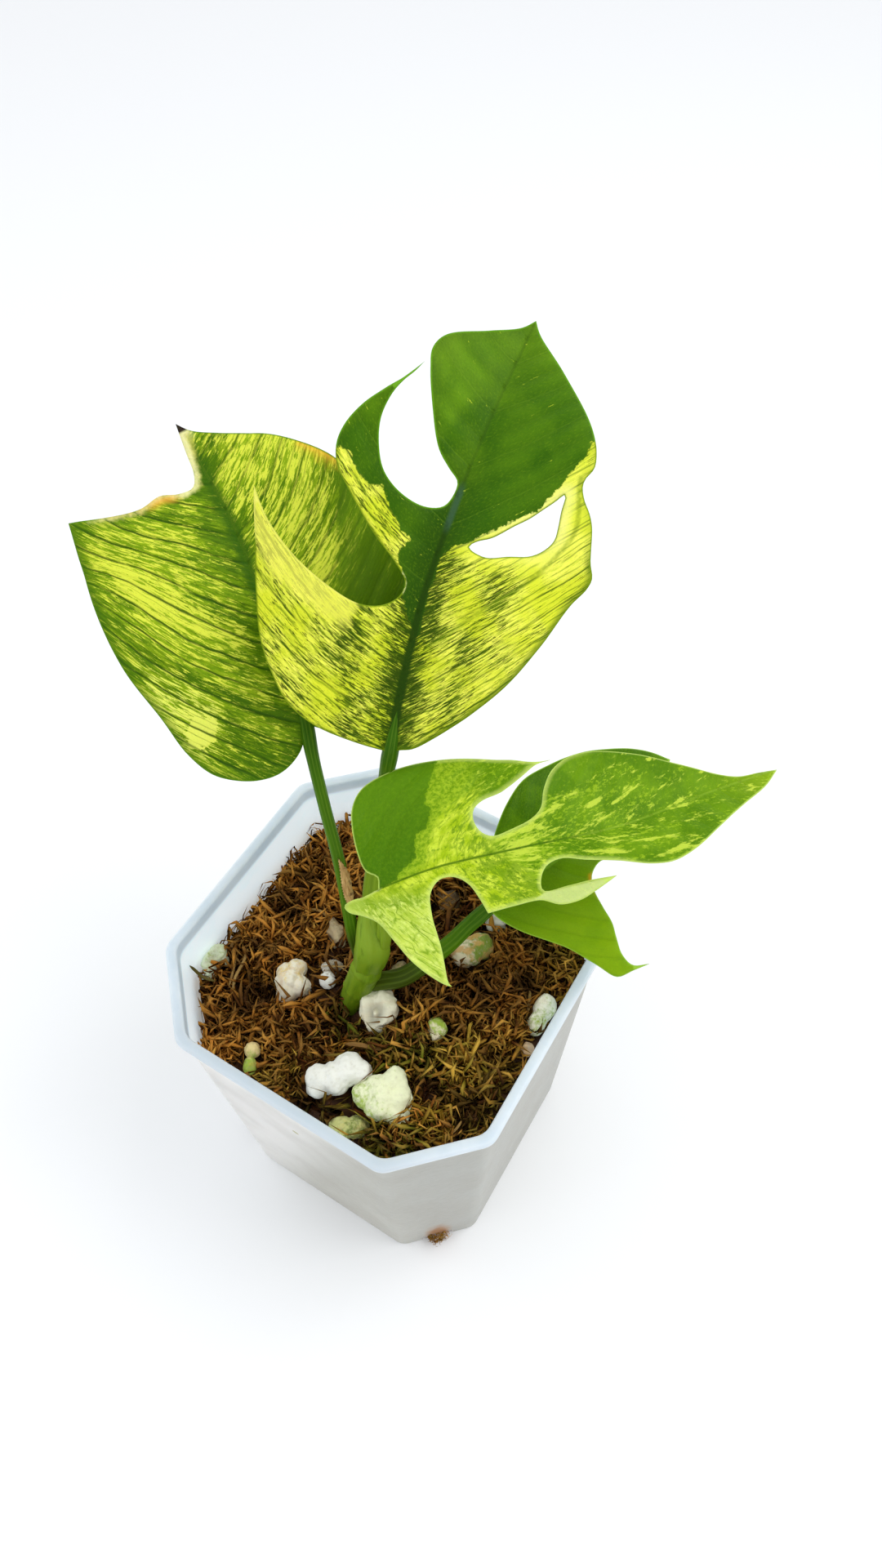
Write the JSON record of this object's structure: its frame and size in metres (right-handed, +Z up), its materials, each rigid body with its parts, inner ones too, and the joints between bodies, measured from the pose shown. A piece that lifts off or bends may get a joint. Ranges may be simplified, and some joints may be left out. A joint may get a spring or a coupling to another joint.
{
  "type": "potted mini monstera",
  "caption": "Young variegated mini monstera with notched leaves on slim petioles, in a frosted square nursery pot of moss and pumice.",
  "frame": {"origin": "middle of the pot's underside", "axes": "+Z up; the pot's flat sides face along X and Y; the plant leans back towards +Y"},
  "size_m": [0.1318, 0.1251, 0.2162],
  "materials": {
    "pot_plastic": "satin",
    "sphagnum": "matte",
    "pumice": "matte",
    "stem": "satin",
    "leaf_mottled": "satin",
    "leaf_splashed": "satin",
    "leaf_green": "satin",
    "dry_sheath": "matte"
  },
  "bodies": {
    "root": {"pot": "pot_plastic", "moss_bed": "sphagnum", "pumice_01": "pumice", "pumice_02": "pumice", "pumice_03": "pumice", "pumice_04": "pumice", "pumice_05": "pumice", "pumice_06": "pumice", "pumice_07": "pumice", "pumice_08": "pumice", "pumice_09": "pumice", "pumice_10": "pumice", "pumice_11": "pumice", "pumice_12": "pumice", "pumice_13": "pumice", "pumice_14": "pumice", "pumice_15": "pumice", "pumice_16": "pumice", "stem": "stem", "leaf_tall": "leaf_mottled", "leaf_left": "leaf_mottled", "leaf_front": "leaf_splashed", "leaf_low": "leaf_green", "dry_sheath": "dry_sheath"}
  },
  "joints": []
}
